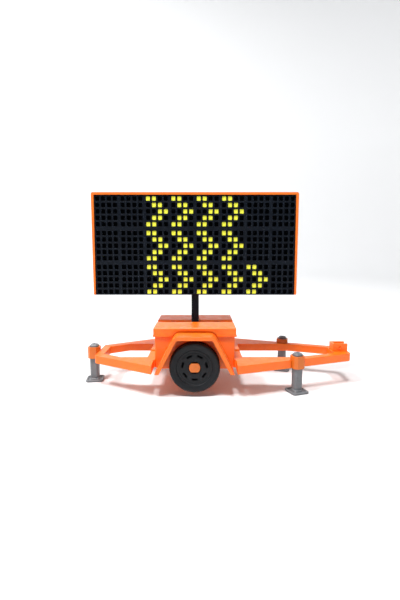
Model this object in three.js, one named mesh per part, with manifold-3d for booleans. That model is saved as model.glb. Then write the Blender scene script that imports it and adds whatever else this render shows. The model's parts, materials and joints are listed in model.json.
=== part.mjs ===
// Message sign trailer, 1:24 desk model: a diamond deck on three jacks, two lidded boxes, two wheels under
// plate fenders, and a pixel sign that turns on a mast.
// Units are millimetres, +Z is up, +X runs towards the coupler and the nearest (right) side is -Y.
// The trailer is drawn from its axle, and the last lines move it so that the origin is under its middle.
import * as THREE from "three";
import { mergeVertices } from "three/addons/utils/BufferGeometryUtils.js";
import Module from "manifold-3d";

const wasm = await Module();
wasm.setup();

// ---- Driving dimensions ----
const DECK_TOP = 18.6;
const DECK_BOTTOM = 14.05;
const DECK_HALF_WIDTH = 31.9;
const WELL_HALF_LENGTH = 22.8;
const TIP_X = 92;
const TIP_HALF_WIDTH = 7.5;
const TIP_CHAMFER = 1.2;
const TAIL_X = -57.95;
const TAIL_HALF_WIDTH = 12;
const TAIL_CORNER_RADIUS = 2;
const RAIL_WIDTH = 4.5;
const CROSS_EDGE_X = 27;
const REAR_OPENING_BEND_X = -42.5;
const REAR_OPENING_END_X = -53.5;
const REAR_OPENING_END_HALF_WIDTH = 8;
const OPENING_HALF_WIDTH = 14.6;
const SPINE_HALF_WIDTH = 3.6;
const RIDGE_HALF_WIDTH = 1;
const RIDGE_HEIGHT = 0.7;

const BOX_HALF_LENGTH = 22.2;
const BOX_OUTER_Y = 19.7;
const BOX_TOP = 31.4;
const BOX_WALL = 1.6;
const BOX_CHAMFER = 0.6;
const LID_HALF_LENGTH = 22.9;
const LID_INNER_Y = 3.1;
const LID_OUTER_Y = 20.35;
const LID_BOTTOM = 31.7;
const LID_TOP = 36.7;
const LID_WALL = 1.2;
const LID_BEVEL = 0.5;
const LID_LIP = 0.3;
const LID_LIP_HEIGHT = 0.8;
const HINGE_Y = 4.9;
const HINGE_Z = 34.6;
const HINGE_PIN_RADIUS = 0.6;
const PIN_HALF_LENGTH = 14.7;
const PIN_GRIP_GAP = 0.02;
const PIN_TURN_GAP = 0.1;
const LID_EDGE_CUT = 0.7;
const LUG_X = 10.3;
const EAR_X = 13.4;
const KNUCKLE_LENGTH = 2.6;
const KNUCKLE_RADIUS = 1;
const KNUCKLE_GAP = 0.3;

const WHEEL_RADIUS = 13.8;
const WHEEL_Z = 16.3;
const WHEEL_INNER_Y = 22.3;
const WHEEL_OUTER_Y = 28;
const TYRE_CHAMFER = 0.7;
const TYRE_LEDGE = 0.4;
const TYRE_LEDGE_RADIUS = 11.3;
const RIM_RADIUS = 9.7;
const RIM_SLOTS = 7;
const RIM_SLOT_RADIUS = 6.6;
const RIM_SLOT_LENGTH = 3.4;
const RIM_SLOT_WIDTH = 1.3;
const RIM_SLOT_DEPTH = 2.5;
const RIM_SETBACK = 0.7;
const AXLE_RADIUS = 2.6;
const AXLE_DISC_RADIUS = 4.2;
const AXLE_HEAD_RADIUS = 3;
const AXLE_HEAD_HALF_HEIGHT = 2.4;
const AXLE_HEAD_LENGTH = 1.6;
const AXLE_HEAD_SETBACK = 0.3;
const AXLE_CLEARANCE = 0.1;
const FENDER_TOP = 34.2;
const FENDER_BOTTOM = 13.85;
const FENDER_TOP_HALF = 10.7;
const FENDER_FOOT_HALF = 21.3;
const FENDER_THICKNESS = 2;
const FENDER_CORNER_RADIUS = 4;
const FENDER_INNER_CORNER_RADIUS = 1.2;
const FENDER_INNER_Y = 21;
const FENDER_PLATE_OVERLAP = 0.3;

const JACK_REAR_X = -61.4;
const JACK_FRONT_X = 57.2;
const JACK_FRONT_Y = 19.8;
const JACK_LEG_WIDTH = 5;
const JACK_LEG_CHAMFER = 1;
const JACK_LEG_TOP = 22.5;
const JACK_LEG_BEVEL = 0.8;
const JACK_LEG_DIMPLE_RADIUS = 0.8;
const JACK_SLEEVE_WIDTH = 6.9;
const JACK_SLEEVE_CHAMFER = 1.5;
const JACK_SLEEVE_TOP = 21;
const JACK_FOOT_WIDTH = 10.3;
const JACK_FOOT_THICKNESS = 1.2;
const JACK_FOOT_CORNER_RADIUS = 1.6;
const JACK_FOOT_BEVEL = 0.25;
const REAR_FOOT_TURN = 0.14;

const MAST_WIDTH = 4.4;
const MAST_CHAMFER = 0.8;
const MAST_JOURNAL_RADIUS = 2;
const MAST_JOURNAL_CLEARANCE = 0.06;
const SOCKET_HALF_LENGTH = 4.5;
const SOCKET_HALF_WIDTH = 3.3;
const SOCKET_CHAMFER = 0.8;
const SOCKET_TOP = 26;
const SOCKET_FLOOR = DECK_TOP + 1;
const TENON_HALF_WIDTH = 1.5;
const TENON_FRONT_Y = -0.1;
const TENON_BACK_Y = 1.7;
const TENON_HEIGHT = 10;
const TENON_CLEARANCE = 0.1;
const SIGN_HALF_WIDTH = 59.5;
const SIGN_BOTTOM = 53;
const SIGN_TOP = 112.1;
const SIGN_FRONT_Y = -4.2;
const SIGN_BACK_Y = 2.6;
const SIGN_PANEL_Y = -0.9;
const SIGN_RIM_TOP = 1.4;
const SIGN_RIM_SIDE_TOP = 1.5;
const SIGN_RIM_SIDE_BOTTOM = 1.1;
const SIGN_TOP_CORNER_RADIUS = 1;
const SIGN_BOTTOM_CORNER_RADIUS = 0.6;
const GRILLE_FRONT_Y = -3.9;
const GRILLE_BACK_Y = -2.4;
const INSERT_BACK_Y = -1.8;
const BACKING_BACK_Y = -1;

const TILE_COLUMNS = 8;
const TILE_ROWS = 3;
const TILE_PITCH_X = 14.56;
const TILE_PITCH_Z = 19.59;
const CELL_COLUMNS = 4;
const CELL_ROWS = 5;
const CELL_PITCH_X = 3.4;
const CELL_PITCH_Z = 3.63;
const CELL_WIDTH = 2.6;
const CELL_HEIGHT = 2.9;
const PEG_GAP = 0.08;
const PEG_SETBACK = 0.1;
const FLANGE_MARGIN = 0.37;
const GRID_CENTRE_Z = 81.68;
const LIT_TILES = [[2, 3, 4, 5], [2, 3, 4, 5], [2, 3, 4, 5, 6]];

const COUPLER_REAR_X = 82.7;
const COUPLER_FRONT_X = 91.3;
const COUPLER_TOP = 23.3;
const COUPLER_OUTER_Y = 3.3;
const COUPLER_WALL = 1.2;
const COUPLER_HOLE_X = 86.6;
const COUPLER_HOLE_Z = 21.2;
const COUPLER_HOLE_RADIUS = 0.8;
const COUPLER_BOSS_RADIUS = 1.35;
const COUPLER_BOSS_HEIGHT = 0.25;

const OVERCUT = 1;
const FIT = 0.15;
const TURNED_GAP = 0.25;

// ---- Finishes ----
const finish = (color, roughness) => new THREE.MeshStandardMaterial({ color, roughness, metalness: 0 });
const ORANGE = () => finish(0xf2661b, 0.4);
const BLACK = () => finish(0x17191c, 0.5);
const TYRE_BLACK = () => finish(0x1f2124, 0.6);
const GREY = () => finish(0x6b6d70, 0.5);
const YELLOW = () => finish(0xf2f04a, 0.4);
const STEEL = () => finish(0xb0b2b5, 0.3);

// ---- Solids ----
function shapeOf(points) {
  return new THREE.Shape(points.map(([x, y]) => new THREE.Vector2(x, y)));
}

function solidOf(geometry) {
  const bare = geometry.clone();
  bare.deleteAttribute("normal");
  bare.deleteAttribute("uv");
  const merged = mergeVertices(bare, 1e-4);
  return new wasm.Manifold(new wasm.Mesh({
    numProp: 3,
    vertProperties: new Float32Array(merged.attributes.position.array),
    triVerts: new Uint32Array(merged.index.array),
  }));
}

function geometryOf(solid) {
  const mesh = solid.getMesh();
  const geometry = new THREE.BufferGeometry();
  geometry.setAttribute("position", new THREE.BufferAttribute(mesh.vertProperties, 3));
  geometry.setIndex(new THREE.BufferAttribute(mesh.triVerts, 1));
  geometry.computeVertexNormals();
  return geometry;
}

function join(...geometries) {
  return geometryOf(geometries.map(solidOf).reduce((whole, piece) => whole.add(piece)));
}

function cut(base, ...tools) {
  return geometryOf(tools.map(solidOf).reduce((rest, tool) => rest.subtract(tool), solidOf(base)));
}

// A block between two opposite corners, given in either order on each axis.
function block([x0, y0, z0], [x1, y1, z1]) {
  const geometry = new THREE.BoxGeometry(Math.abs(x1 - x0), Math.abs(y1 - y0), Math.abs(z1 - z0));
  return geometry.translate((x0 + x1) / 2, (y0 + y1) / 2, (z0 + z1) / 2);
}

// An (x, y) outline raised from z0 to z1, with an optional bevel that stays inside the outline.
function prismZ(points, z0, z1, bevel = 0, holes = []) {
  const shape = shapeOf(points);
  shape.holes = holes.map(shapeOf);
  const geometry = new THREE.ExtrudeGeometry(shape, {
    depth: z1 - z0 - 2 * bevel,
    bevelEnabled: bevel > 0,
    bevelThickness: bevel,
    bevelSize: bevel,
    bevelOffset: -bevel,
    bevelSegments: 1,
  });
  return geometry.translate(0, 0, z0 + bevel);
}

// An (x, z) outline drawn along Y between y0 and y1, in either order.
function prismY(points, y0, y1) {
  return prismZ(points, 0, Math.abs(y1 - y0)).rotateX(Math.PI / 2).translate(0, Math.max(y0, y1), 0);
}

// A round bar along X, Y or Z between two places on that axis, centred on the other two coordinates.
function bar(axis, radius, from, to, centre, segments = 24) {
  const geometry = new THREE.CylinderGeometry(radius, radius, Math.abs(to - from), segments);
  const middle = (from + to) / 2;
  if (axis === "x") return geometry.rotateZ(Math.PI / 2).translate(middle, ...centre);
  if (axis === "z") return geometry.rotateX(Math.PI / 2).translate(...centre, middle);
  return geometry.translate(centre[0], middle, centre[1]);
}

// ---- Outlines ----
function rectangle(x0, y0, x1, y1) {
  return [[x0, y0], [x1, y0], [x1, y1], [x0, y1]];
}

function chamferedRectangle(x0, y0, x1, y1, chamfer) {
  return [
    [x0 + chamfer, y0], [x1 - chamfer, y0], [x1, y0 + chamfer], [x1, y1 - chamfer],
    [x1 - chamfer, y1], [x0 + chamfer, y1], [x0, y1 - chamfer], [x0, y0 + chamfer],
  ];
}

function square(width, chamfer) {
  return chamferedRectangle(-width / 2, -width / 2, width / 2, width / 2, chamfer);
}

// Swaps each corner [x, y, radius] that has a radius for an arc that touches both of its sides.
function rounded(corners, steps = 4) {
  return corners.flatMap(([x, y, radius], index) => {
    if (!radius) return [[x, y]];
    const corner = new THREE.Vector2(x, y);
    const before = new THREE.Vector2(...corners.at(index - 1)).sub(corner).normalize();
    const after = new THREE.Vector2(...corners[(index + 1) % corners.length]).sub(corner).normalize();
    const half = Math.acos(before.dot(after)) / 2;
    const centre = before.clone().add(after).normalize().multiplyScalar(radius / Math.sin(half)).add(corner);
    const start = before.multiplyScalar(radius / Math.tan(half)).add(corner).sub(centre);
    const end = after.multiplyScalar(radius / Math.tan(half)).add(corner).sub(centre);
    const sweep = Math.atan2(start.cross(end), start.dot(end));
    return Array.from({ length: steps + 1 }, (_, step) => {
      const point = start.clone().rotateAround(new THREE.Vector2(), (sweep * step) / steps).add(centre);
      return [point.x, point.y];
    });
  });
}

// Adds the mirror image of an outline's +Y half, given from its front end to its rear end.
function mirrored(half) {
  return [...half, ...half.toReversed().map(([x, y, ...rest]) => [x, -y, ...rest])];
}

// ---- The scene graph ----
const trailer = new THREE.Group();

function add(name, geometry, material, group = trailer) {
  const mesh = new THREE.Mesh(geometry, material);
  mesh.name = name;
  group.add(mesh);
}

const SIDES = [["left", 1], ["right", -1]];

// ---- Chassis ----
const railSlope = (DECK_HALF_WIDTH - TIP_HALF_WIDTH) / (TIP_X - WELL_HALF_LENGTH);
const railAngle = Math.atan(railSlope);
const openingFrontX = COUPLER_REAR_X - 0.4;

// Half width of the front opening at x: the outer edge less a rail, and no wider than the cross plates leave.
function frontOpeningHalf(x) {
  const outerEdge = DECK_HALF_WIDTH - railSlope * (x - WELL_HALF_LENGTH);
  return outerEdge - RAIL_WIDTH / Math.cos(railAngle);
}

function chassisFrame() {
  const bendX = WELL_HALF_LENGTH + (DECK_HALF_WIDTH - RAIL_WIDTH / Math.cos(railAngle) - OPENING_HALF_WIDTH)
    / railSlope;
  const outline = rounded(mirrored([
    [TIP_X, TIP_HALF_WIDTH - TIP_CHAMFER],
    [TIP_X - TIP_CHAMFER, TIP_HALF_WIDTH + railSlope * TIP_CHAMFER],
    [WELL_HALF_LENGTH, DECK_HALF_WIDTH],
    [WELL_HALF_LENGTH, BOX_OUTER_Y],
    [BOX_HALF_LENGTH, BOX_OUTER_Y],
    [BOX_HALF_LENGTH, SPINE_HALF_WIDTH],
    [-BOX_HALF_LENGTH, SPINE_HALF_WIDTH],
    [-BOX_HALF_LENGTH, BOX_OUTER_Y],
    [-WELL_HALF_LENGTH, BOX_OUTER_Y],
    [-WELL_HALF_LENGTH, DECK_HALF_WIDTH],
    [TAIL_X, TAIL_HALF_WIDTH, TAIL_CORNER_RADIUS],
  ]));
  const frontOpening = mirrored([
    [openingFrontX, frontOpeningHalf(openingFrontX)],
    [bendX, OPENING_HALF_WIDTH],
    [CROSS_EDGE_X, OPENING_HALF_WIDTH],
  ]);
  const rearOpening = mirrored([
    [-CROSS_EDGE_X, OPENING_HALF_WIDTH],
    [REAR_OPENING_BEND_X, OPENING_HALF_WIDTH],
    [REAR_OPENING_END_X, REAR_OPENING_END_HALF_WIDTH],
  ]);
  const plate = prismZ(outline, DECK_BOTTOM, DECK_TOP, 0, [frontOpening, rearOpening]);
  const notches = SIDES.map(([, side]) => {
    const notch = prismZ(square(JACK_SLEEVE_WIDTH + 2 * TURNED_GAP, JACK_SLEEVE_CHAMFER),
      DECK_BOTTOM - OVERCUT, DECK_TOP + OVERCUT);
    return notch.rotateZ(-side * railAngle).translate(JACK_FRONT_X, side * JACK_FRONT_Y, 0);
  });
  return cut(plate, ...notches);
}

// The ridge along the spine, with the tower whose round bore the mast turns in.
function mastSocket() {
  const ridge = block([-CROSS_EDGE_X, -RIDGE_HALF_WIDTH, DECK_TOP],
    [CROSS_EDGE_X, RIDGE_HALF_WIDTH, DECK_TOP + RIDGE_HEIGHT]);
  const [halfLength, halfWidth] = [SOCKET_HALF_LENGTH, SOCKET_HALF_WIDTH];
  const outline = chamferedRectangle(-halfLength, -halfWidth, halfLength, halfWidth, SOCKET_CHAMFER);
  const tower = prismZ(outline, DECK_TOP, SOCKET_TOP);
  const boreRadius = MAST_JOURNAL_RADIUS + MAST_JOURNAL_CLEARANCE;
  const bore = bar("z", boreRadius, SOCKET_FLOOR, SOCKET_TOP + OVERCUT, [0, 0]);
  return cut(join(ridge, tower), bore);
}

// Two upright plates on the drawbar's tip, joined by a wall at the back and drilled for a hitch pin.
function coupler() {
  const outer = COUPLER_OUTER_Y;
  const inner = COUPLER_OUTER_Y - COUPLER_WALL;
  const holeCentre = [COUPLER_HOLE_X, COUPLER_HOLE_Z];
  const body = block([COUPLER_REAR_X, -outer, DECK_TOP], [COUPLER_FRONT_X, outer, COUPLER_TOP]);
  const bossEnd = outer + COUPLER_BOSS_HEIGHT;
  const boss = bar("y", COUPLER_BOSS_RADIUS, -bossEnd, bossEnd, holeCentre);
  const slot = block([COUPLER_REAR_X + COUPLER_WALL, -inner, DECK_TOP - OVERCUT],
    [COUPLER_FRONT_X + OVERCUT, inner, COUPLER_TOP + OVERCUT]);
  const hole = bar("y", COUPLER_HOLE_RADIUS, -outer - OVERCUT, outer + OVERCUT, holeCentre);
  return cut(join(body, boss), slot, hole);
}

add("chassis_frame", chassisFrame(), ORANGE());
add("mast_socket", mastSocket(), ORANGE());
add("drawbar_coupler", coupler(), ORANGE());

// ---- Boxes and lids ----
// Turns a part that is drawn for the left side into its mirror image for the right side.
function mirrorY(geometry, side) {
  if (side > 0) return geometry;
  const flipped = geometry.clone().scale(1, -1, 1);
  const index = flipped.index.array;
  for (let corner = 0; corner < index.length; corner += 3) {
    [index[corner + 1], index[corner + 2]] = [index[corner + 2], index[corner + 1]];
  }
  return flipped;
}

// An open box with two ears on its inner side, which hold the ends of the lid's hinge pin.
function equipmentBox() {
  const [rearX, frontX] = [-BOX_HALF_LENGTH, BOX_HALF_LENGTH];
  const outline = chamferedRectangle(rearX, SPINE_HALF_WIDTH, frontX, BOX_OUTER_Y, BOX_CHAMFER);
  const inside = block([rearX + BOX_WALL, SPINE_HALF_WIDTH + BOX_WALL, DECK_BOTTOM + BOX_WALL],
    [frontX - BOX_WALL, BOX_OUTER_Y - BOX_WALL, BOX_TOP + OVERCUT]);
  const ears = [-EAR_X, EAR_X].flatMap((x) => {
    const [rear, front] = [x - KNUCKLE_LENGTH / 2, x + KNUCKLE_LENGTH / 2];
    return [
      block([rear, HINGE_Y - KNUCKLE_RADIUS, BOX_TOP - 2], [front, HINGE_Y + KNUCKLE_RADIUS, HINGE_Z]),
      bar("x", KNUCKLE_RADIUS, rear, front, [HINGE_Y, HINGE_Z], 16),
    ];
  });
  const bore = bar("x", HINGE_PIN_RADIUS + PIN_GRIP_GAP, -PIN_HALF_LENGTH - 1, PIN_HALF_LENGTH + 1,
    [HINGE_Y, HINGE_Z], 12);
  return cut(join(cut(prismZ(outline, DECK_BOTTOM, BOX_TOP), inside), ...ears), bore);
}

// What is cut from the lid's inner wall: its lower edge, which swings past the box, and pockets for the ears.
function hingeClearances() {
  const end = LID_HALF_LENGTH + OVERCUT;
  const lowerEdge = block([-end, 0, LID_BOTTOM - OVERCUT],
    [end, LID_INNER_Y + LID_WALL, LID_BOTTOM + LID_EDGE_CUT]);
  const reach = KNUCKLE_RADIUS + KNUCKLE_GAP;
  const halfLength = KNUCKLE_LENGTH / 2 + KNUCKLE_GAP;
  const pockets = [-EAR_X, EAR_X].map((x) => block([x - halfLength, 0, LID_BOTTOM - OVERCUT],
    [x + halfLength, HINGE_Y + reach, HINGE_Z + reach]));
  return [lowerEdge, ...pockets];
}

function lid() {
  const outer = rectangle(-LID_HALF_LENGTH, LID_INNER_Y, LID_HALF_LENGTH, LID_OUTER_Y);
  const lipHalfLength = LID_HALF_LENGTH + LID_LIP;
  const lip = rectangle(-lipHalfLength, LID_INNER_Y, lipHalfLength, LID_OUTER_Y + LID_LIP);
  const inside = rectangle(-LID_HALF_LENGTH + LID_WALL, LID_INNER_Y + LID_WALL, LID_HALF_LENGTH - LID_WALL,
    LID_OUTER_Y - LID_WALL);
  const ceiling = LID_TOP - LID_WALL;
  const bevelledBelow = LID_BOTTOM - 2 * LID_BEVEL;
  const end = LID_HALF_LENGTH + OVERCUT;
  const lipRing = prismZ(lip, LID_BOTTOM, LID_BOTTOM + LID_LIP_HEIGHT);
  const shell = cut(
    join(prismZ(outer, bevelledBelow, LID_TOP, LID_BEVEL), lipRing),
    block([-end, 0, bevelledBelow - OVERCUT], [end, LID_OUTER_Y + OVERCUT, LID_BOTTOM]),
    prismZ(inside, LID_BOTTOM - OVERCUT, ceiling),
    ...hingeClearances(),
  );
  const lugs = [-LUG_X, LUG_X].map((x) => block(
    [x - KNUCKLE_LENGTH / 2, LID_INNER_Y + LID_WALL / 2, HINGE_Z - KNUCKLE_RADIUS],
    [x + KNUCKLE_LENGTH / 2, HINGE_Y + KNUCKLE_RADIUS, ceiling + LID_WALL / 3],
  ));
  const bore = bar("x", HINGE_PIN_RADIUS + PIN_TURN_GAP, -EAR_X, EAR_X, [HINGE_Y, HINGE_Z], 12);
  return cut(join(shell, ...lugs), bore);
}

for (const [label, side] of SIDES) {
  const pin = bar("x", HINGE_PIN_RADIUS, -PIN_HALF_LENGTH, PIN_HALF_LENGTH, [side * HINGE_Y, HINGE_Z], 12);
  add(`${label}_box`, mirrorY(equipmentBox(), side), ORANGE());
  add(`${label}_lid`, mirrorY(lid(), side), ORANGE());
  add(`${label}_hinge_pin`, pin, STEEL());
}

// ---- Wheels, axles and fenders ----
// Each turned profile is [radius, distance out from the trailer's middle plane].
function turned(profile, segments) {
  return new THREE.LatheGeometry(profile.map(([radius, y]) => new THREE.Vector2(radius, y)), segments);
}

function tyre() {
  const inner = WHEEL_INNER_Y;
  const outer = WHEEL_OUTER_Y;
  const bead = RIM_RADIUS + AXLE_CLEARANCE;
  const profile = [
    [bead, inner + TYRE_LEDGE], [WHEEL_RADIUS - TYRE_CHAMFER, inner], [WHEEL_RADIUS, inner + TYRE_CHAMFER],
    [WHEEL_RADIUS, outer - TYRE_CHAMFER], [WHEEL_RADIUS - TYRE_CHAMFER, outer], [TYRE_LEDGE_RADIUS, outer],
    [TYRE_LEDGE_RADIUS - 0.3, outer - TYRE_LEDGE], [bead, outer - TYRE_LEDGE],
  ];
  return turned([...profile, profile[0]], 48);
}

function rim() {
  const face = WHEEL_OUTER_Y - RIM_SETBACK;
  const body = bar("y", RIM_RADIUS, WHEEL_INNER_Y + RIM_SETBACK, face, [0, 0], 48);
  const bore = bar("y", AXLE_RADIUS + AXLE_CLEARANCE, 0, WHEEL_OUTER_Y + OVERCUT, [0, 0]);
  const headRoom = AXLE_HEAD_RADIUS + 0.5;
  const counterbore = bar("y", headRoom, face - AXLE_HEAD_LENGTH, WHEEL_OUTER_Y + OVERCUT, [0, 0]);
  const slots = Array.from({ length: RIM_SLOTS }, (_, index) => {
    const [halfLength, halfWidth] = [RIM_SLOT_LENGTH / 2, RIM_SLOT_WIDTH / 2];
    const outline = chamferedRectangle(-halfLength, -halfWidth, halfLength, halfWidth, halfWidth * 0.6);
    const slot = prismY(outline, face - RIM_SLOT_DEPTH, face + OVERCUT);
    return slot.translate(0, 0, -RIM_SLOT_RADIUS).rotateY((index * 2 * Math.PI) / RIM_SLOTS);
  });
  return cut(body, bore, counterbore, ...slots);
}

// A stub with a root disc against the fender's side plate and a head with flats above and below.
function axle() {
  const plateY = FENDER_INNER_Y + FENDER_PLATE_OVERLAP;
  const headY = WHEEL_OUTER_Y - AXLE_HEAD_SETBACK;
  const disc = bar("y", AXLE_DISC_RADIUS, plateY, WHEEL_INNER_Y - FIT, [0, 0]);
  const shaft = bar("y", AXLE_RADIUS, plateY, headY, [0, 0]);
  const head = bar("y", AXLE_HEAD_RADIUS, headY - AXLE_HEAD_LENGTH, headY, [0, 0]);
  const flats = SIDES.map(([, side]) => block(
    [-AXLE_HEAD_RADIUS, headY - AXLE_HEAD_LENGTH - OVERCUT, side * AXLE_HEAD_HALF_HEIGHT],
    [AXLE_HEAD_RADIUS, headY + OVERCUT, side * (AXLE_HEAD_RADIUS + OVERCUT)],
  ));
  return cut(join(disc, shaft, head), ...flats);
}

// A bent plate over the wheel, with a side plate that closes it against the box.
function fender() {
  const slope = (FENDER_FOOT_HALF - FENDER_TOP_HALF) / (FENDER_TOP - FENDER_BOTTOM);
  const legWidth = FENDER_THICKNESS * Math.hypot(1, slope);
  const ceiling = FENDER_TOP - FENDER_THICKNESS;
  const innerTopHalf = FENDER_FOOT_HALF - legWidth - slope * (ceiling - FENDER_BOTTOM);
  const outline = rounded([
    [FENDER_FOOT_HALF, FENDER_BOTTOM],
    [FENDER_TOP_HALF, FENDER_TOP, FENDER_CORNER_RADIUS],
    [-FENDER_TOP_HALF, FENDER_TOP, FENDER_CORNER_RADIUS],
    [-FENDER_FOOT_HALF, FENDER_BOTTOM],
    [-FENDER_FOOT_HALF + legWidth, FENDER_BOTTOM],
    [-innerTopHalf, ceiling, FENDER_INNER_CORNER_RADIUS],
    [innerTopHalf, ceiling, FENDER_INNER_CORNER_RADIUS],
    [FENDER_FOOT_HALF - legWidth, FENDER_BOTTOM],
  ]);
  const plateTop = BOX_TOP - 0.1;
  const plateTopHalf = FENDER_FOOT_HALF - slope * (plateTop - FENDER_BOTTOM);
  const plate = [
    [FENDER_FOOT_HALF, FENDER_BOTTOM], [plateTopHalf, plateTop],
    [-plateTopHalf, plateTop], [-FENDER_FOOT_HALF, FENDER_BOTTOM],
  ];
  return join(prismY(outline, FENDER_INNER_Y, DECK_HALF_WIDTH),
    prismY(plate, BOX_OUTER_Y, FENDER_INNER_Y + FENDER_PLATE_OVERLAP));
}

for (const [label, side] of SIDES) {
  const wheel = new THREE.Group();
  wheel.position.z = WHEEL_Z;
  trailer.add(wheel);
  add(`${label}_fender`, mirrorY(fender(), side), ORANGE());
  add(`${label}_axle`, mirrorY(axle(), side), ORANGE(), wheel);
  add(`${label}_rim`, mirrorY(rim(), side), BLACK(), wheel);
  add(`${label}_tyre`, mirrorY(tyre(), side), TYRE_BLACK(), wheel);
}

// ---- Jacks ----
function jackLeg() {
  const outline = square(JACK_LEG_WIDTH, JACK_LEG_CHAMFER);
  const leg = prismZ(outline, JACK_FOOT_THICKNESS, JACK_LEG_TOP, JACK_LEG_BEVEL);
  const dimple = bar("z", JACK_LEG_DIMPLE_RADIUS, JACK_LEG_TOP - 0.5, JACK_LEG_TOP + OVERCUT, [0, 0], 12);
  return cut(leg, dimple);
}

function jackSleeve() {
  const sleeve = prismZ(square(JACK_SLEEVE_WIDTH, JACK_SLEEVE_CHAMFER), DECK_BOTTOM, JACK_SLEEVE_TOP);
  const hole = prismZ(square(JACK_LEG_WIDTH + 2 * FIT, JACK_LEG_CHAMFER), DECK_BOTTOM - OVERCUT,
    JACK_SLEEVE_TOP + OVERCUT);
  return cut(sleeve, hole);
}

function jackFoot() {
  const half = JACK_FOOT_WIDTH / 2;
  const corners = rectangle(-half, -half, half, half).map(([x, y]) => [x, y, JACK_FOOT_CORNER_RADIUS]);
  return prismZ(rounded(corners, 3), 0, JACK_FOOT_THICKNESS, JACK_FOOT_BEVEL);
}

const JACKS = [
  { label: "rear", x: JACK_REAR_X, y: 0, turn: 0, footTurn: REAR_FOOT_TURN },
  { label: "front_left", x: JACK_FRONT_X, y: JACK_FRONT_Y, turn: -railAngle, footTurn: 0 },
  { label: "front_right", x: JACK_FRONT_X, y: -JACK_FRONT_Y, turn: railAngle, footTurn: 0 },
];

for (const { label, x, y, turn, footTurn } of JACKS) {
  const jack = new THREE.Group();
  jack.position.set(x, y, 0);
  jack.rotation.z = turn;
  trailer.add(jack);
  add(`${label}_jack_sleeve`, jackSleeve(), ORANGE(), jack);
  add(`${label}_jack_leg`, jackLeg(), GREY(), jack);
  add(`${label}_jack_foot`, jackFoot().rotateZ(footTurn), GREY(), jack);
}

// ---- Mast ----
function mast() {
  const journal = bar("z", MAST_JOURNAL_RADIUS, SOCKET_FLOOR + 0.1, SOCKET_TOP + 1, [0, 0]);
  const post = prismZ(square(MAST_WIDTH, MAST_CHAMFER), SOCKET_TOP + FIT, SIGN_BOTTOM);
  const tenon = block([-TENON_HALF_WIDTH, TENON_FRONT_Y, SIGN_BOTTOM - 1],
    [TENON_HALF_WIDTH, TENON_BACK_Y, SIGN_BOTTOM + TENON_HEIGHT]);
  return join(journal, post, tenon);
}

add("mast", mast(), BLACK());

// ---- Sign ----
// Half width of the sign's recess at height z: the side rims thin towards the bottom.
function recessHalf(z) {
  const rim = THREE.MathUtils.mapLinear(z, SIGN_BOTTOM, SIGN_TOP, SIGN_RIM_SIDE_BOTTOM, SIGN_RIM_SIDE_TOP);
  return SIGN_HALF_WIDTH - rim;
}

function recessOutline(clearance, bottom) {
  const top = SIGN_TOP - SIGN_RIM_TOP - clearance;
  return [
    [-recessHalf(bottom) + clearance, bottom], [recessHalf(bottom) - clearance, bottom],
    [recessHalf(top) - clearance, top], [-recessHalf(top) + clearance, top],
  ];
}

function signCase() {
  const outline = rounded([
    [-SIGN_HALF_WIDTH, SIGN_BOTTOM, SIGN_BOTTOM_CORNER_RADIUS],
    [SIGN_HALF_WIDTH, SIGN_BOTTOM, SIGN_BOTTOM_CORNER_RADIUS],
    [SIGN_HALF_WIDTH, SIGN_TOP, SIGN_TOP_CORNER_RADIUS],
    [-SIGN_HALF_WIDTH, SIGN_TOP, SIGN_TOP_CORNER_RADIUS],
  ], 3);
  const pocketHalf = TENON_HALF_WIDTH + TENON_CLEARANCE;
  const pocket = block([-pocketHalf, TENON_FRONT_Y - TENON_CLEARANCE, SIGN_BOTTOM - OVERCUT],
    [pocketHalf, TENON_BACK_Y + TENON_CLEARANCE, SIGN_BOTTOM + TENON_HEIGHT + TENON_CLEARANCE]);
  const recess = prismY(recessOutline(0, SIGN_BOTTOM - OVERCUT), SIGN_FRONT_Y - OVERCUT, SIGN_PANEL_Y);
  return cut(prismY(outline, SIGN_FRONT_Y, SIGN_BACK_Y), recess, pocket);
}

const tileX = (column) => (column - (TILE_COLUMNS - 1) / 2) * TILE_PITCH_X;
const tileZ = (row) => GRID_CENTRE_Z + ((TILE_ROWS - 1) / 2 - row) * TILE_PITCH_Z;

// A block the size of one cell, less a gap all round, in its place in a tile. A negative gap makes it larger.
function cellBlock(column, row, gap, y0, y1) {
  const x = (column - (CELL_COLUMNS - 1) / 2) * CELL_PITCH_X;
  const z = ((CELL_ROWS - 1) / 2 - row) * CELL_PITCH_Z;
  const halfWidth = CELL_WIDTH / 2 - gap;
  const halfHeight = CELL_HEIGHT / 2 - gap;
  return block([x - halfWidth, y0, z - halfHeight], [x + halfWidth, y1, z + halfHeight]);
}

function signGrille() {
  const cells = [];
  for (let index = 0; index < TILE_ROWS * TILE_COLUMNS * CELL_ROWS * CELL_COLUMNS; index += 1) {
    const column = index % CELL_COLUMNS;
    const row = Math.floor(index / CELL_COLUMNS) % CELL_ROWS;
    const tile = Math.floor(index / (CELL_COLUMNS * CELL_ROWS));
    const cell = cellBlock(column, row, 0, GRILLE_FRONT_Y - 1, GRILLE_BACK_Y + 1);
    cells.push(cell.translate(tileX(tile % TILE_COLUMNS), 0, tileZ(Math.floor(tile / TILE_COLUMNS))));
  }
  return cut(prismY(recessOutline(FIT, SIGN_BOTTOM), GRILLE_FRONT_Y, GRILLE_BACK_Y), ...cells);
}

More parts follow.
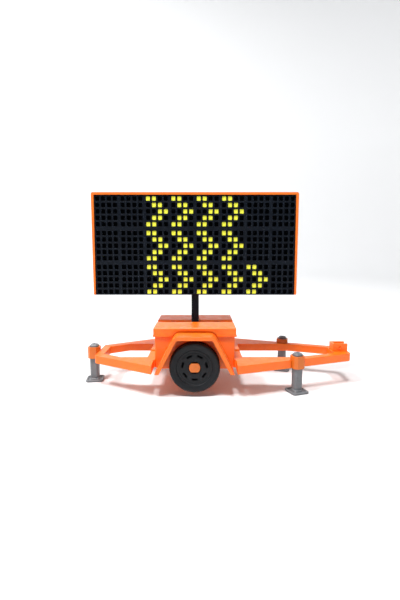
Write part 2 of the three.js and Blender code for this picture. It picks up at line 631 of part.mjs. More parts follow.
// A chevron two cells wide: pegs that fill the grille's cells, on a flange of the same shape behind its bars.
function pixelInsert() {
  const pieces = [];
  for (let row = 0; row < CELL_ROWS; row += 1) {
    const first = (CELL_ROWS - 1) / 2 - Math.abs(row - (CELL_ROWS - 1) / 2);
    for (const column of [first, first + 1]) {
      pieces.push(cellBlock(column, row, PEG_GAP, GRILLE_FRONT_Y + PEG_SETBACK, INSERT_BACK_Y));
    }
    for (const column of [first, first + 0.5, first + 1]) {
      pieces.push(cellBlock(column, row, -FLANGE_MARGIN, GRILLE_BACK_Y, INSERT_BACK_Y));
    }
  }
  return join(...pieces);
}

add("sign_case", signCase(), ORANGE());
add("sign_backing", prismY(recessOutline(FIT, SIGN_BOTTOM + 0.2), INSERT_BACK_Y, BACKING_BACK_Y), BLACK());
add("sign_grille", signGrille(), BLACK());
LIT_TILES.forEach((columns, row) => columns.forEach((column) => {
  const insert = pixelInsert().translate(tileX(column), 0, tileZ(row));
  add(`pixel_insert_r${row + 1}_c${column + 1}`, insert, YELLOW());
}));

// ---- Origin: on the floor, under the middle of the whole trailer ----
const bounds = new THREE.Box3().setFromObject(trailer, true);
trailer.position.x = -(bounds.min.x + bounds.max.x) / 2;
trailer.updateMatrixWorld(true);

export default trailer;
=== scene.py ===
"""The looks of a desk-size message sign trailer, built around its CAD frame.

Metres, +Z up, +X towards the coupler, -Y towards the camera. Lengths written in this file are in
millimetres and pass through MM. Every piece is made here as a mesh, from its CAD node's own mesh or
from the places that the frame gives, and rides on the body of the node that it stands for.
"""

import json
import math

import bmesh
import bpy
from mathutils import Matrix, Vector

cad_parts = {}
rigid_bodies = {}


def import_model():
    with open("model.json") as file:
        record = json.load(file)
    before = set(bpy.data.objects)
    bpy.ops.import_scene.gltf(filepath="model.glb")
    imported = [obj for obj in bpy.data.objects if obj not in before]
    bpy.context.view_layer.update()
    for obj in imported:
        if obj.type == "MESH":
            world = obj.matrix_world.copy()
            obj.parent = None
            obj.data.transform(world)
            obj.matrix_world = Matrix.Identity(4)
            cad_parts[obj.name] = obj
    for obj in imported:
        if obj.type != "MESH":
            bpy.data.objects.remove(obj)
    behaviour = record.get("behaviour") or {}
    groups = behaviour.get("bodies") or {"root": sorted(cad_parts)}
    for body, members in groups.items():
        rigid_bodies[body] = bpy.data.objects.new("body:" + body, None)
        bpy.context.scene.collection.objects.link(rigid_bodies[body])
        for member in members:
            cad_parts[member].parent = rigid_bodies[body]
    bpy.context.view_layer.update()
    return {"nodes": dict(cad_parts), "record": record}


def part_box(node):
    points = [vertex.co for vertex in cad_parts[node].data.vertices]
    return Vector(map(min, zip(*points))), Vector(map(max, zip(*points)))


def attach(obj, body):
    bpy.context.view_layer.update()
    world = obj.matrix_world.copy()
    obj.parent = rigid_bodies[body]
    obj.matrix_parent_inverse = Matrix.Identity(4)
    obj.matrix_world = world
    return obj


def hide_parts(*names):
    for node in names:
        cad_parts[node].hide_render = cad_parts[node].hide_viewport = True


MM = 0.001

for stray in list(bpy.data.objects):
    bpy.data.objects.remove(stray)

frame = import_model()
BODY_OF = {node: body for body, nodes in frame["record"]["behaviour"]["bodies"].items() for node in nodes}
SIDES = (("left", 1), ("right", -1))
JACKS = ("rear", "front_left", "front_right")


def centre_of(node):
    low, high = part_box(node)
    return (low + high) / 2


# ---- Camera ----
CAMERA_PLACE = Vector((-9.61, -224.06, 80.83)) * MM
CAMERA_PITCH = math.radians(6.476)
SENSOR = 36
LENS = 22.6116
SHIFT = -1 / 60


def make_camera():
    data = bpy.data.cameras.new("camera")
    data.sensor_width = SENSOR
    data.lens = LENS
    data.shift_y = SHIFT
    data.clip_start = 10 * MM
    data.clip_end = 20
    camera = bpy.data.objects.new("camera", data)
    camera.location = CAMERA_PLACE
    camera.rotation_euler = (math.pi / 2 - CAMERA_PITCH, 0, 0)
    bpy.context.scene.collection.objects.link(camera)
    bpy.context.scene.camera = camera


make_camera()


# ---- Materials ----
LAYER = 0.2
RASTER = 0.45
RIB_HEIGHT = 0.008
GLOW_DEPTH = 2.5
# Noise is squeezed across the printed layers and drawn out along them.
ACROSS_LAYERS = 0.04
ALONG_LAYERS = 3.0
# A wave texture of scale 1 has a band every pi / 10 of a unit.
WAVE_BANDS = math.pi / 10


def node(tree, kind, inputs=None, **settings):
    """A shader node: inputs are values or sockets to link, settings are the node's own properties."""
    made = tree.nodes.new(kind)
    for name, value in settings.items():
        setattr(made, name, value)
    for name, value in (inputs or {}).items():
        if isinstance(value, bpy.types.NodeSocket):
            tree.links.new(value, made.inputs[name])
        else:
            made.inputs[name].default_value = value
    return made


def number(tree, operation, *values):
    """One step of arithmetic on sockets and numbers."""
    return node(tree, "ShaderNodeMath", dict(enumerate(values)), operation=operation).outputs[0]


def spread(tree, value, low, high, to_low, to_high):
    """Maps low..high onto to_low..to_high, and stops at both ends."""
    inputs = {"Value": value, "From Min": low, "From Max": high, "To Min": to_low, "To Max": to_high}
    return node(tree, "ShaderNodeMapRange", inputs).outputs["Result"]


def noise(tree, place, size, detail=2.0, stretch=(1, 1, 1)):
    """Noise whose blotches are about size millimetres across, stretched along some axes."""
    scale = [1 / (size * MM * factor) for factor in stretch]
    mapped = node(tree, "ShaderNodeMapping", {"Vector": place, "Scale": scale}).outputs[0]
    inputs = {"Vector": mapped, "Scale": 1.0, "Detail": detail, "Roughness": 0.55}
    return node(tree, "ShaderNodeTexNoise", inputs).outputs[0]


def bands(tree, place, period, direction):
    """Straight ribs across one axis, period millimetres apart."""
    inputs = {"Vector": place, "Scale": WAVE_BANDS / (period * MM), "Distortion": 0.0}
    return node(tree, "ShaderNodeTexWave", inputs, bands_direction=direction).outputs[1]


def mixed(tree, factor, first, second):
    """A colour between two, where a Mix node keeps its colours on inputs 6 and 7."""
    return node(tree, "ShaderNodeMix", {0: factor, 6: first, 7: second}, data_type="RGBA").outputs[2]


def tinted(colour, factor):
    """A paler or darker colour, with its alpha."""
    return tuple(min(1.0, channel * factor) for channel in colour) + (1.0,)


def new_material(name):
    """An empty node material: returns the material and its node tree."""
    material = bpy.data.materials.new(name)
    material.use_nodes = True
    material.node_tree.nodes.clear()
    return material, material.node_tree


def printed_relief(tree, place, normal, layers, along):
    """Ribs on the walls and raster lines on the faces across the layers, both a little uneven."""
    facing = node(tree, "ShaderNodeSeparateXYZ", {0: normal}).outputs[layers]
    across = spread(tree, number(tree, "ABSOLUTE", facing), 0.75, 0.95, 0.0, 1.0)
    wall = bands(tree, place, LAYER, layers)
    wall = number(tree, "MULTIPLY_ADD", noise(tree, place, 5.0, 1.0, along), 0.8, wall)
    turn = [math.pi / 4 if axis == layers else 0.0 for axis in "XYZ"]
    turned = node(tree, "ShaderNodeMapping", {"Vector": place, "Rotation": turn}).outputs[0]
    raster = bands(tree, turned, RASTER, "Y" if layers == "X" else "X")
    raster = number(tree, "MULTIPLY_ADD", noise(tree, place, 1.5), 0.7, raster)
    ribbed = node(tree, "ShaderNodeMix", {"Factor": across, "A": wall, "B": raster}).outputs[0]
    return number(tree, "MULTIPLY_ADD", noise(tree, place, 0.35, 3.0), 0.6, ribbed)


def drifting_colour(tree, place, colour, mottle, along):
    """A colour that drifts a little from place to place and from layer to layer."""
    drift = number(tree, "MULTIPLY", noise(tree, place, 7.0, 3.0), 0.5)
    blend = number(tree, "MULTIPLY_ADD", noise(tree, place, 0.6, 2.0, along), 0.5, drift)
    shade = spread(tree, blend, 0.35, 0.65, 0.0, 1.0)
    return mixed(tree, shade, tinted(colour, 1 - mottle), tinted(colour, 1 + mottle))


def rubbed_edges(tree, place):
    """Up to 0.7 on edges that stick out, in patches, and 0 on flat faces."""
    pointed = node(tree, "ShaderNodeNewGeometry").outputs["Pointiness"]
    patches = spread(tree, noise(tree, place, 2.2, 3.0), 0.4, 0.6, 0.2, 1.0)
    return number(tree, "MULTIPLY", spread(tree, pointed, 0.52, 0.62, 0.0, 0.7), patches)


def printed_plastic(name, colour, layers="Z", mottle=0.06, roughness=(0.34, 0.48), ribs=1.0, wear=1.25,
                    subsurface=0.0, specular=0.5):
    """Plastic printed in fine layers stacked along one axis, with paler, rubbed edges."""
    material, tree = new_material(name)
    source = node(tree, "ShaderNodeTexCoord")
    place = source.outputs["Object"]
    along = [ACROSS_LAYERS if axis == layers else ALONG_LAYERS for axis in "XYZ"]
    height = printed_relief(tree, place, source.outputs["Normal"], layers, along)
    bump = node(tree, "ShaderNodeBump", {"Height": height, "Strength": ribs, "Distance": RIB_HEIGHT * MM})
    rubbed = rubbed_edges(tree, place)
    body = drifting_colour(tree, place, colour, mottle, along)
    worn = mixed(tree, rubbed, body, tinted(colour, wear))
    uneven = number(tree, "ADD", noise(tree, place, 3.0, 4.0), number(tree, "MULTIPLY", rubbed, 0.2))
    gloss = spread(tree, uneven, 0.35, 0.65, *roughness)
    shader = node(tree, "ShaderNodeBsdfPrincipled", {
        "Base Color": worn, "Roughness": gloss, "Normal": bump.outputs[0]})
    shader.inputs["Specular IOR Level"].default_value = specular
    if subsurface:
        shader.inputs["Subsurface Weight"].default_value = subsurface
        shader.inputs["Subsurface Radius"].default_value = [max(channel, 0.02) for channel in colour]
        shader.inputs["Subsurface Scale"].default_value = GLOW_DEPTH * MM
    tree.links.new(shader.outputs[0], node(tree, "ShaderNodeOutputMaterial").inputs[0])
    return material


ORANGE = (0.92, 0.160, 0.004)
DULL_ORANGE = (0.64, 0.150, 0.012)
CASE_ORANGE = (0.80, 0.165, 0.009)
BLACK = (0.002, 0.004, 0.008)
BACKING_BLACK = tuple(channel / 3 for channel in BLACK)
RUBBER_BLACK = (0.010, 0.011, 0.013)
GREY = (0.150, 0.155, 0.165)
FOOT_GREY = (0.128, 0.132, 0.14)
YELLOW = (0.89, 0.89, 0.05)
STEEL = (0.52, 0.53, 0.55)

orange = printed_plastic("orange_print", ORANGE, "Z", subsurface=0.35)
orange_case = printed_plastic("orange_print_case", CASE_ORANGE, "Y", mottle=0.03, subsurface=0.3)
orange_dull = printed_plastic("orange_print_dull", DULL_ORANGE, "Z", subsurface=0.25)
orange_dull_flat = printed_plastic("orange_print_dull_flat", DULL_ORANGE, "Y", mottle=0.1, subsurface=0.25)
black = printed_plastic("black_print", BLACK, "Y", mottle=0.2, roughness=(0.38, 0.52), wear=2.2,
                        specular=0.16)
black_backing = printed_plastic("black_print_backing", BACKING_BLACK, "Y", mottle=0.2, roughness=(0.5, 0.65),
                                wear=1.5, specular=0.04)
black_post = printed_plastic("black_print_post", BLACK, "Y", mottle=0.2, roughness=(0.4, 0.55), wear=2.2,
                             specular=0.12)
wheel_black = printed_plastic("wheel_print", RUBBER_BLACK, "Y", mottle=0.15, roughness=(0.45, 0.6), wear=1.8,
                              specular=0.22)
grey = printed_plastic("grey_print", GREY, "Z", mottle=0.22, roughness=(0.36, 0.52), wear=1.5, ribs=1.4)
grey_foot = printed_plastic("grey_print_foot", FOOT_GREY, "Z", mottle=0.25, roughness=(0.34, 0.5), wear=2.3,
                            ribs=1.2)
yellow = printed_plastic("yellow_print", YELLOW, "Y", mottle=0.04, roughness=(0.36, 0.5), wear=1.05,
                         subsurface=0.1)


def drawn_steel():
    """Bright wire with fine lines along it and a few dull patches."""
    material, tree = new_material("drawn_steel")
    place = node(tree, "ShaderNodeTexCoord").outputs["Object"]
    lines = noise(tree, place, 0.12, 3.0, (40, 1, 1))
    patches = noise(tree, place, 1.8, 2.0)
    bump = node(tree, "ShaderNodeBump", {"Height": lines, "Strength": 0.5, "Distance": 0.004 * MM})
    colour = mixed(tree, patches, tinted(STEEL, 0.7), tinted(STEEL, 1.15))
    shader = node(tree, "ShaderNodeBsdfPrincipled", {
        "Base Color": colour, "Metallic": 1.0, "Normal": bump.outputs[0],
        "Roughness": spread(tree, lines, 0.3, 0.7, 0.2, 0.42)})
    tree.links.new(shader.outputs[0], node(tree, "ShaderNodeOutputMaterial").inputs[0])
    return material


steel = drawn_steel()


# ---- Mesh helpers ----
MERGE_DISTANCE = 0.002
BEVEL_SEGMENTS = 3
BEVEL_ANGLE = 32


def place_piece(bm, name, stands_for, material):
    """Turns a bmesh into a piece that stands for CAD nodes and rides on their body."""
    bmesh.ops.recalc_face_normals(bm, faces=bm.faces)
    for face in bm.faces:
        face.smooth = True
    mesh = bpy.data.meshes.new(name)
    bm.to_mesh(mesh)
    bm.free()
    mesh.materials.append(material)
    piece = bpy.data.objects.new(name, mesh)
    bpy.context.scene.collection.objects.link(piece)
    flatten = piece.modifiers.new("flat_faces", "WEIGHTED_NORMAL")
    flatten.weight = 100
    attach(piece, BODY_OF[stands_for[0]])
    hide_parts(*stands_for)
    return piece


def copied(cad_node):
    """A CAD node's solid, with its split corners merged and its flat faces whole."""
    bm = bmesh.new()
    bm.from_mesh(frame["nodes"][cad_node].data)
    bmesh.ops.remove_doubles(bm, verts=bm.verts, dist=MERGE_DISTANCE * MM)
    bmesh.ops.dissolve_limit(bm, angle_limit=math.radians(1), verts=bm.verts, edges=bm.edges)
    return bm


def soften(bm, width, above=BEVEL_ANGLE):
    """Rounds the edges whose faces meet at more than an angle in degrees."""
    limit = math.radians(above)
    edges = [edge for edge in bm.edges if edge.is_manifold and edge.calc_face_angle() > limit]
    bmesh.ops.bevel(bm, geom=edges, offset=width * MM, segments=BEVEL_SEGMENTS, profile=0.5, affect="EDGES",
                    clamp_overlap=True)


def refined(cad_node, material, width):
    """The CAD shape with softened edges."""
    bm = copied(cad_node)
    soften(bm, width)
    return place_piece(bm, cad_node + "_print", [cad_node], material)


def loft(bm, rings, closed=False, caps=True):
    """Joins rings of points, each with the same number of points, into a skin with caps at both ends."""
    rows = [[bm.verts.new(point) for point in ring] for ring in rings]
    pairs = list(zip(rows, rows[1:]))
    if closed:
        pairs.append((rows[-1], rows[0]))
    for lower, upper in pairs:
        for index in range(len(lower)):
            after = (index + 1) % len(lower)
            bm.faces.new((lower[index], lower[after], upper[after], upper[index]))
    if caps and not closed:
        bm.faces.new(rows[0][::-1])
        bm.faces.new(rows[-1])
    return rows


def arc(centre, radius, start, end, steps):
    """Points on an arc between two angles in degrees."""
    angles = [math.radians(start + (end - start) * step / steps) for step in range(steps + 1)]
    return [(centre[0] + radius * math.cos(angle), centre[1] + radius * math.sin(angle)) for angle in angles]


def rounded_rectangle(half_width, half_height, radius, steps):
    """Points around a rectangle with round corners, from the lower right corner on."""
    points = []
    for index, (x, y) in enumerate(((1, -1), (1, 1), (-1, 1), (-1, -1))):
        corner = (x * (half_width - radius), y * (half_height - radius))
        points += arc(corner, radius, 90 * index - 90, 90 * index, steps)
    return points


def subtract(bm, cutter):
    """Cuts one closed bmesh out of another."""
    pieces = []
    for source in (bm, cutter):
        bmesh.ops.recalc_face_normals(source, faces=source.faces)
        mesh = bpy.data.meshes.new("cut")
        source.to_mesh(mesh)
        source.free()
        pieces.append(bpy.data.objects.new("cut", mesh))
        bpy.context.scene.collection.objects.link(pieces[-1])
    boolean = pieces[0].modifiers.new("cut", "BOOLEAN")
    boolean.operation = "DIFFERENCE"
    boolean.solver = "EXACT"
    boolean.object = pieces[1]
    bpy.context.view_layer.update()
    result = bmesh.new()
    result.from_object(pieces[0], bpy.context.evaluated_depsgraph_get())
    for piece in pieces:
        bpy.data.objects.remove(piece)
    bmesh.ops.remove_doubles(result, verts=result.verts, dist=MERGE_DISTANCE * MM)
    bmesh.ops.dissolve_limit(result, angle_limit=math.radians(0.5), verts=result.verts, edges=result.edges)
    return result


# ---- Chassis, boxes, fenders, sleeves, mast and sign case: the CAD shapes with softened edges ----
EDGES = {
    "chassis_frame": 0.18, "mast_socket": 0.15, "drawbar_coupler": 0.12,
    "box": 0.15, "lid": 0.15, "fender": 0.2, "axle": 0.2, "pin": 0.1,
    "sleeve": 0.08, "leg": 0.07,
    "mast": 0.12, "sign_case": 0.15, "sign_backing": 0.1,
}
for solid_name in ("chassis_frame", "mast_socket", "drawbar_coupler"):
    refined(solid_name, orange, EDGES[solid_name])
for label, _ in SIDES:
    refined(f"{label}_box", orange, EDGES["box"])
    refined(f"{label}_fender", orange, EDGES["fender"])
    refined(f"{label}_axle", orange_dull_flat, EDGES["axle"])
    refined(f"{label}_hinge_pin", steel, EDGES["pin"])
for label in JACKS:
    refined(f"{label}_jack_sleeve", orange_dull, EDGES["sleeve"])
    refined(f"{label}_jack_leg", grey, EDGES["leg"])
refined("mast", black_post, EDGES["mast"])
refined("sign_case", orange_case, EDGES["sign_case"])
refined("sign_backing", black_backing, EDGES["sign_backing"])


# ---- Lids ----
FENDER_TOP_HALF, FENDER_FOOT_HALF, FENDER_CORNER = 10.7, 21.3, 4.0
NOTCH_GAP = 0.5
NOTCH_FLOOR_Y = 19.6
NOTCH_BOTTOM = 30.5
LID_REACH_Y = 22.0
LID_BEVEL_ANGLE = 28


def fender_outline(label, grow, lowest):
    """The upper part of a fender's outline, grown by some millimetres: (x, z) points from front to rear."""
    low, high = (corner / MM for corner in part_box(f"{label}_fender"))
    middle = (low.x + high.x) / 2
    lean = math.atan2(FENDER_FOOT_HALF - FENDER_TOP_HALF, high.z - low.z)
    centre = (FENDER_TOP_HALF - FENDER_CORNER * math.tan((math.pi / 2 - lean) / 2), high.z - FENDER_CORNER)
    front = arc(centre, FENDER_CORNER + grow, math.degrees(lean), 90, 8)
    foot = front[0][0] + (front[0][1] - lowest) * math.tan(lean)
    front.insert(0, (foot, lowest))
    return [(middle + x, z) for x, z in front] + [(middle - x, z) for x, z in reversed(front)]


def lid(label, side):
    """A lid whose outer wall is let in round the fender's top, with a narrow gap."""
    bm = copied(f"{label}_lid")
    soften(bm, EDGES["lid"], LID_BEVEL_ANGLE)
    outline = fender_outline(label, NOTCH_GAP, NOTCH_BOTTOM)
    cutter = bmesh.new()
    ends = (NOTCH_FLOOR_Y, LID_REACH_Y)
    loft(cutter, [[Vector((x, side * y, z)) * MM for x, z in outline] for y in ends])
    bm = subtract(bm, cutter)
    return place_piece(bm, f"{label}_lid_print", [f"{label}_lid"], orange)


for label, side in SIDES:
    lid(label, side)


# ---- Jack feet ----
FOOT_WIDTH = 10.3
FOOT_CORNER = 1.6
FOOT_CORNER_STEPS = 6
FOOT_SIDE = FOOT_WIDTH - 2 * FOOT_CORNER
# Each step of a foot's profile is (distance in from its outline, height, corner radius). The last three
# are the boss that the leg stands on.
FOOT_PROFILE = ((0.6, 0, 1.2), (0.12, 0.3, 1.5), (0.01, 0.42, 1.6), (0.01, 0.85, 1.6), (0.1, 1.1, 1.5),
                (0.3, 1.2, 1.3), (0.85, 1.2, 0.95), (1.05, 1.05, 0.85), (1.15, 0.6, 0.85), (2.45, 0.6, 1.1),
                (2.65, 0.8, 1.1), (2.65, 1.9, 1.1))


def jack_foot(label):
    """A square plate with round corners, a flat rim, a shallow pan and a boss under the leg."""
    cad_node = f"{label}_jack_foot"
    centre = centre_of(cad_node)
    ground = Vector((centre.x, centre.y, 0))
    turn = foot_turn(frame["nodes"][cad_node].data)
    bm = bmesh.new()
    rings = []
    for inset, height, corner in FOOT_PROFILE:
        half = FOOT_WIDTH / 2 - inset
        outline = rounded_rectangle(half, half, corner, FOOT_CORNER_STEPS)
        rings.append([ground + turn @ Vector((x, y, height)) * MM for x, y in outline])
    loft(bm, rings)
    return place_piece(bm, cad_node + "_print", [cad_node], grey_foot)


def foot_turn(mesh):
    """The turn about Z of a foot, from a straight side of its CAD mesh."""
    spans = []
    for edge in mesh.edges:
        start, end = (mesh.vertices[index].co for index in edge.vertices)
        if abs(start.z - end.z) < 0.01 * MM:
            spans.append(end - start)
    upright = [span for span in spans if abs(span.length - FOOT_SIDE * MM) < 0.02 * MM]
    return Matrix.Rotation(math.atan2(upright[0].y, upright[0].x), 3, "Z")


for label in JACKS:
    jack_foot(label)


# ---- Wheels ----
TREAD_RIBS = 120
TREAD_DEPTH = 0.3
TREAD_BAND = 0.45
INNER_SHOULDER = 0.7
OUTER_SHOULDER = 0.9
TYRE_BORE = 9.72
TYRE_BORE_CHAMFER = 0.4
# The groove round the tread, as (distance from the inner face, depth).
GROOVE = ((2.2, 0), (2.4, 0.35), (2.9, 0.35), (3.1, 0))
# The tyre's outer wall, as (radius, depth below the outer face).
SIDEWALL = ((12.4, 0), (11.6, 0.1), (10.7, 0.42), (10.2, 0.58), (TYRE_BORE, 0.66))
WHEEL_CENTRE = {label: centre_of(f"{label}_tyre") for label, _ in SIDES}


def lathe(centre, side, profile, segments, wobble=None):
    """A ring turned about Y from a closed profile of (radius, distance from the middle plane), in
    millimetres. wobble(index, radius) may lower a point's radius at one segment."""
    bm = bmesh.new()
    rings = []
    for index in range(segments):
        angle = 2 * math.pi * index / segments
        ring = []
        for radius, y in profile:
            reach = wobble(index, radius) if wobble else radius
            ring.append((centre.x + reach * MM * math.sin(angle), side * y * MM,
                         centre.z - reach * MM * math.cos(angle)))
        rings.append(ring)
    loft(bm, rings, closed=True)
    return bm


def tyre(label, side):
    """A tyre with fine ribs across its tread and a groove round it."""
    low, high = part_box(f"{label}_tyre")
    inner, outer = sorted(abs(y) / MM for y in (low.y, high.y))
    radius = (high.z - low.z) / 2 / MM
    tread_low = radius - TREAD_BAND

    def tread(index, reach):
        return reach - TREAD_DEPTH if reach > tread_low and index % 4 > 1 else reach

    profile = [(TYRE_BORE, inner + TYRE_BORE_CHAMFER)]
    profile += arc((radius - INNER_SHOULDER, inner + INNER_SHOULDER), INNER_SHOULDER, 260, 360, 5)
    profile += [(radius - depth, inner + y) for y, depth in GROOVE]
    profile += arc((radius - OUTER_SHOULDER, outer - OUTER_SHOULDER), OUTER_SHOULDER, 0, 70, 5)
    profile += [(reach, outer - depth) for reach, depth in SIDEWALL]
    bm = lathe(WHEEL_CENTRE[label], side, profile, 4 * TREAD_RIBS, tread)
    return place_piece(bm, f"{label}_tyre_print", [f"{label}_tyre"], wheel_black)


RIM_BORE = 2.72
RIM_CHAMFER = 0.3
RIM_SEGMENTS = 96
# The rim's outer face, as (radius, depth below its highest ring): a ring, a groove, the disc, and a collar
# round the recess for the stub's head.
RIM_FACE = ((9.62, 0.01), (9.45, 0), (8.75, 0), (8.6, 0.03), (8.42, 0.17), (8.2, 0.17), (8.05, 0.08),
            (7.9, 0.06), (4.3, 0.06), (4.1, 0.02), (3.5, 0.02), (3.3, 0.12), (3.2, 0.35), (3.2, 1.6),
            (RIM_BORE, 1.6))
RIM_SLOTS = 7
SLOT_RADIUS = 6.6
SLOT_HALF = (1.65, 0.6)
SLOT_CORNER = 0.4
SLOT_DEPTH = 2.8


def rim_slots(centre, side, face):
    """A closed bmesh of the slots, reaching out past the rim's face."""
    cutter = bmesh.new()
    outline = rounded_rectangle(*SLOT_HALF, SLOT_CORNER, 3)
    for index in range(RIM_SLOTS):
        turn = Matrix.Rotation(2 * math.pi * index / RIM_SLOTS, 4, "Y")
        ends = []
        for y in (face - SLOT_DEPTH, face + 1):
            level = Vector((0, side * y * MM - centre.y, 0))
            ends.append([centre + (turn @ Vector((x, 0, z - SLOT_RADIUS))) * MM + level for x, z in outline])
        loft(cutter, ends)
    return cutter


def rim(label, side):
    """A disc with a bore for the stub, and with rings and blind slots in its face."""
    low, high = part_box(f"{label}_rim")
    inner, face = sorted(abs(y) / MM for y in (low.y, high.y))
    radius = (high.z - low.z) / 2 / MM
    profile = [(RIM_BORE, inner), (radius - RIM_CHAMFER, inner), (radius, inner + RIM_CHAMFER)]
    profile.append((radius, face - 0.06))
    profile += [(reach, face - depth) for reach, depth in RIM_FACE]
    bm = lathe(WHEEL_CENTRE[label], side, profile, RIM_SEGMENTS)
    bm = subtract(bm, rim_slots(WHEEL_CENTRE[label], side, face))
    return place_piece(bm, f"{label}_rim_print", [f"{label}_rim"], wheel_black)


for label, side in SIDES:
    tyre(label, side)
    rim(label, side)


# ---- Sign: the grid of cells and the yellow pixels ----
TILE_COLUMNS, TILE_ROWS = 8, 3
CELL_COLUMNS, CELL_ROWS = 4, 5
TILE_PITCH = (14.56, 19.59)
CELL_PITCH = (3.4, 3.63)
CELL_SIZE = (2.6, 2.9)
CELL_CORNER = 0.38
CORNER_STEPS = 3
OPEN_CELL_INSET = 0.12
# The front edge of an open cell, as (inset, depth).
OPEN_CELL = ((0.02, 0), (0.08, 0.03), (OPEN_CELL_INSET, 0.14))
GRILLE_TAPER = 0.4
PEG_RECESS = 0.2
PEG_GAP = 0.1
# A peg's rounded front edge, as (inset, depth).
PEG_EDGE = ((0, 0.16), (0.04, 0.05), (0.16, 0))
DIMPLE_RADIUS = 0.42
DIMPLE_FLOOR_RADIUS = 0.25
DIMPLE_DEPTH = 0.14
FLANGE_THICKNESS = 0.6
# The first of the two lit cells in each row of a chevron.
CHEVRON = (0, 1, 2, 1, 0)


def grid_lines(count, pitch, size, half):
    """Positions of the borders of a row of cells, between -half and half. Fields between the lines are
    numbered from 0, so the odd ones are cells and the even ones are the walls between them."""
    middles = [(index - (count - 1) / 2) * pitch for index in range(count)]
    lines = [-half]
    for middle in middles:
        lines += [middle - size / 2, middle + size / 2]
    return lines + [half]


class GridPlate:
    """A plate in the X-Z plane between a front y and a back y, made of fields between grid lines.
    A field is plain, or rings of points lead into it (a cell) or out of it (a peg)."""

    def __init__(self, columns, rows, place):
        self.bm = bmesh.new()
        self.columns = columns
        self.rows = rows
        self.place = place
        self.known = {}

    def vertex(self, column, row, y):
        key = (column, row, y)
        if key not in self.known:
            self.known[key] = self.bm.verts.new(self.place(self.columns[column], self.rows[row], y))
        return self.known[key]

    def corners(self, column, row, y):
        steps = ((1, 0), (1, 1), (0, 1), (0, 0))
        return [self.vertex(column + right, row + up, y) for right, up in steps]

    def collar(self, corners, ring):
        """Fills between a field's four corners and a ring of points with the same corners rounded."""
        steps = len(ring) // 4
        for index, corner in enumerate(corners):
            start = index * steps
            for step in range(steps - 1):
                self.bm.faces.new((corner, ring[start + step], ring[start + step + 1]))
            after = (start + steps) % len(ring)
            self.bm.faces.new((corner, ring[start + steps - 1], ring[after], corners[(index + 1) % 4]))

    def rings(self, column, row, shapes):
        """Rings of points about a field's middle: each shape is (outline, y)."""
        middle_x = (self.columns[column] + self.columns[column + 1]) / 2
        middle_z = (self.rows[row] + self.rows[row + 1]) / 2
        made = []
        for outline, y in shapes:
            made.append([self.bm.verts.new(self.place(middle_x + x, middle_z + z, y)) for x, z in outline])
        for first, second in zip(made, made[1:]):
            for index in range(len(first)):
                after = (index + 1) % len(first)
                self.bm.faces.new((first[index], first[after], second[after], second[index]))
        return made

    def plain(self, column, row, y):
        self.bm.faces.new(self.corners(column, row, y))

    def walls(self, fields, front, back):
        """Narrow sides, wherever a field has no neighbour."""
        for column, row in fields:
            corners = ((0, 0), (1, 0), (1, 1), (0, 1))
            for index, neighbour in enumerate(((0, -1), (1, 0), (0, 1), (-1, 0))):
                if (column + neighbour[0], row + neighbour[1]) in fields:
                    continue
                ends = (corners[index], corners[(index + 1) % 4])
                first, second = [(column + x, row + z) for x, z in ends]
                self.bm.faces.new((self.vertex(*first, front), self.vertex(*second, front),
                                   self.vertex(*second, back), self.vertex(*first, back)))


def cell_outline(inset):
    return rounded_rectangle(CELL_SIZE[0] / 2 - inset, CELL_SIZE[1] / 2 - inset, CELL_CORNER, CORNER_STEPS)


def dimple_ring(radius):
    """A circle with as many points as a cell's outline, which starts near the same corner."""
    points = arc((0, 0), 1, -75, 255, 4 * (CORNER_STEPS + 1) - 1)
    return [(radius * x, radius * z) for x, z in points]


def grille_lines(low, high, axis, tile_count, cell_count):
    """Borders of all the cells along X (axis 0) or Z (axis 1), between the grille's own ends."""
    lines = [low]
    for index in range(tile_count):
        tile = (index - (tile_count - 1) / 2) * TILE_PITCH[axis]
        borders = grid_lines(cell_count, CELL_PITCH[axis], CELL_SIZE[axis], 0)[1:-1]
        lines += [tile + line for line in borders]
    return lines + [high]


def sign_grille():
    """The sign's black front, slightly narrower at the top, with every cell open."""
    low, high = (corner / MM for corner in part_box("sign_grille"))
    centre_x = (low.x + high.x) / 2
    centre_z = centre_of("pixel_insert_r2_c4").z / MM
    columns = grille_lines(low.x - centre_x, high.x - centre_x, 0, TILE_COLUMNS, CELL_COLUMNS)
    rows = grille_lines(low.z - centre_z, high.z - centre_z, 1, TILE_ROWS, CELL_ROWS)
    half = (high.x - low.x) / 2
    height = high.z - low.z

    def place(x, z, y):
        if abs(x) > half - 0.01:
            x = math.copysign(half - GRILLE_TAPER * (z - rows[0]) / height, x)
        return Vector((centre_x + x, y, centre_z + z)) * MM

    front, back = low.y, high.y
    plate = GridPlate(columns, rows, place)
    open_shapes = [(cell_outline(inset), front + depth) for inset, depth in OPEN_CELL]
    open_shapes.append((cell_outline(OPEN_CELL_INSET), back))
    fields = {(column, row) for column in range(len(columns) - 1) for row in range(len(rows) - 1)}
    for column, row in sorted(fields):
        if column % 2 and row % 2:
            made = plate.rings(column, row, open_shapes)
            plate.collar(plate.corners(column, row, front), made[0])
            plate.collar(plate.corners(column, row, back), made[-1])
        else:
            plate.plain(column, row, front)
            plate.plain(column, row, back)
    plate.walls(fields, front, back)
    return place_piece(plate.bm, "sign_grille_print", ["sign_grille"], black)


def chevron_fields():
    """The fields of a chevron's lit cells, and the walls that join them."""
    lit = {(1 + 2 * (first + step), 1 + 2 * row) for row, first in enumerate(CHEVRON) for step in (0, 1)}
    bridges = {(column + 1, row) for column, row in lit if (column + 2, row) in lit}
    bridges |= {(column, row + 1) for column, row in lit if (column, row + 2) in lit}
    return lit, bridges


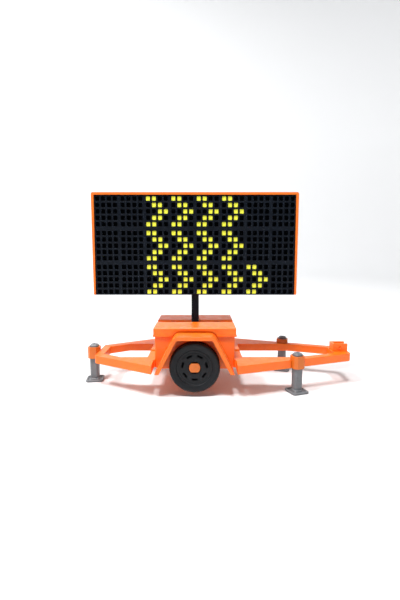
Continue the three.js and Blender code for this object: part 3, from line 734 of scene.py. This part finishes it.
def pixel_insert(cad_node):
    """A thin chevron behind the grille, which points to the coupler, with ten dimpled pegs on it."""
    low, high = (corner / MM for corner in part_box(cad_node))
    middle = (low + high) / 2
    half = (high - low) / 2
    columns = grid_lines(CELL_COLUMNS, CELL_PITCH[0], CELL_SIZE[0], half.x)
    rows = grid_lines(CELL_ROWS, CELL_PITCH[1], CELL_SIZE[1], half.z)
    front, back = low.y + PEG_RECESS, high.y
    flange = back - FLANGE_THICKNESS

    def place(x, z, y):
        return Vector((middle.x + x, y, middle.z + z)) * MM

    plate = GridPlate(columns, rows, place)
    peg = [(cell_outline(PEG_GAP), flange)]
    peg += [(cell_outline(PEG_GAP + inset), front + depth) for inset, depth in PEG_EDGE]
    peg.append((dimple_ring(DIMPLE_RADIUS), front))
    peg.append((dimple_ring(DIMPLE_FLOOR_RADIUS), front + DIMPLE_DEPTH))
    lit, bridges = chevron_fields()
    for column, row in sorted(lit | bridges):
        if (column, row) in lit:
            made = plate.rings(column, row, peg)
            plate.collar(plate.corners(column, row, flange), made[0])
            plate.bm.faces.new(made[-1])
        else:
            plate.plain(column, row, flange)
        plate.plain(column, row, back)
    plate.walls(lit | bridges, flange, back)
    name = cad_node.replace("insert", "chevron")
    return place_piece(plate.bm, name, [cad_node], yellow)


sign_grille()
for cad_node in sorted(frame["nodes"]):
    if cad_node.startswith("pixel_insert"):
        pixel_insert(cad_node)


# ---- Floor, backdrop and light ----
PAPER_WHITE = (0.87, 0.875, 0.88, 1)
# Painted shade: the grey that the paper turns on the wall behind the camera.
PAPER_PAINTED_SHADE = (0.30, 0.30, 0.31, 1)


def paper_with_painted_shade():
    """White around the trailer, with painted shade that turns it grey towards the wall in front of it,
    behind the camera, so that faces turned to the camera reflect a dark wall.
    """
    material = bpy.data.materials.new("paper_with_painted_shade")
    material.use_nodes = True
    tree = material.node_tree
    shader = tree.nodes["Principled BSDF"]
    place = node(tree, "ShaderNodeTexCoord").outputs["Object"]
    depth = node(tree, "ShaderNodeSeparateXYZ", {0: place}).outputs["Y"]
    # Painted shade mask: 0 on the wall behind the camera, 1 on the white floor round the trailer.
    unshaded_share = spread(tree, depth, -1.3, -0.45, 0.0, 1.0)
    tree.links.new(mixed(tree, unshaded_share, PAPER_PAINTED_SHADE, PAPER_WHITE), shader.inputs["Base Color"])
    shader.inputs["Roughness"].default_value = 0.7
    shader.inputs["Specular IOR Level"].default_value = 0.2
    return material


def studio_bowl():
    """A round floor that curves up into a wall, so that it is a plain backdrop from every side."""
    floor_radius, bend, wall = 900, 500, 1500
    segments = 96
    profile = [(0.1, 0), (300, 0), (600, 0)]
    profile += [(floor_radius + x, bend + z) for x, z in arc((0, 0), bend, -90, 0, 24)]
    profile.append((floor_radius + bend, wall))
    bm = bmesh.new()
    angles = [2 * math.pi * index / segments for index in range(segments)]
    rings = [[(radius * MM * math.cos(angle), radius * MM * math.sin(angle), z * MM) for angle in angles]
             for radius, z in profile]
    rows = loft(bm, rings, caps=False)
    bm.faces.new(rows[0])
    for face in bm.faces:
        face.smooth = True
    mesh = bpy.data.meshes.new("studio_bowl")
    bm.to_mesh(mesh)
    bm.free()
    mesh.materials.append(paper_with_painted_shade())
    bowl = bpy.data.objects.new("studio_bowl", mesh)
    bpy.context.scene.collection.objects.link(bowl)


def softbox(name, place, target, size, power):
    data = bpy.data.lights.new(name, "AREA")
    data.shape = "SQUARE"
    data.size = size * MM
    data.energy = power
    light = bpy.data.objects.new(name, data)
    light.location = Vector(place) * MM
    aim = (Vector(target) - Vector(place)).to_track_quat("-Z", "Y")
    light.rotation_euler = aim.to_euler()
    bpy.context.scene.collection.objects.link(light)


def pale_world(strength):
    world = bpy.data.worlds.new("pale")
    world.use_nodes = True
    background = world.node_tree.nodes["Background"]
    background.inputs["Color"].default_value = (0.95, 0.97, 1.0, 1)
    background.inputs["Strength"].default_value = strength
    bpy.context.scene.world = world


studio_bowl()
softbox("key_above", place=(-60, -340, 940), target=(0, 0, 30), size=180, power=7.0)
softbox("key_left", place=(-500, -270, 900), target=(0, 0, 30), size=180, power=7.9)
softbox("backdrop", place=(-500, 600, 900), target=(-100, 1400, 300), size=500, power=6.0)
pale_world(0.23)
bpy.context.scene.view_settings.view_transform = "Standard"
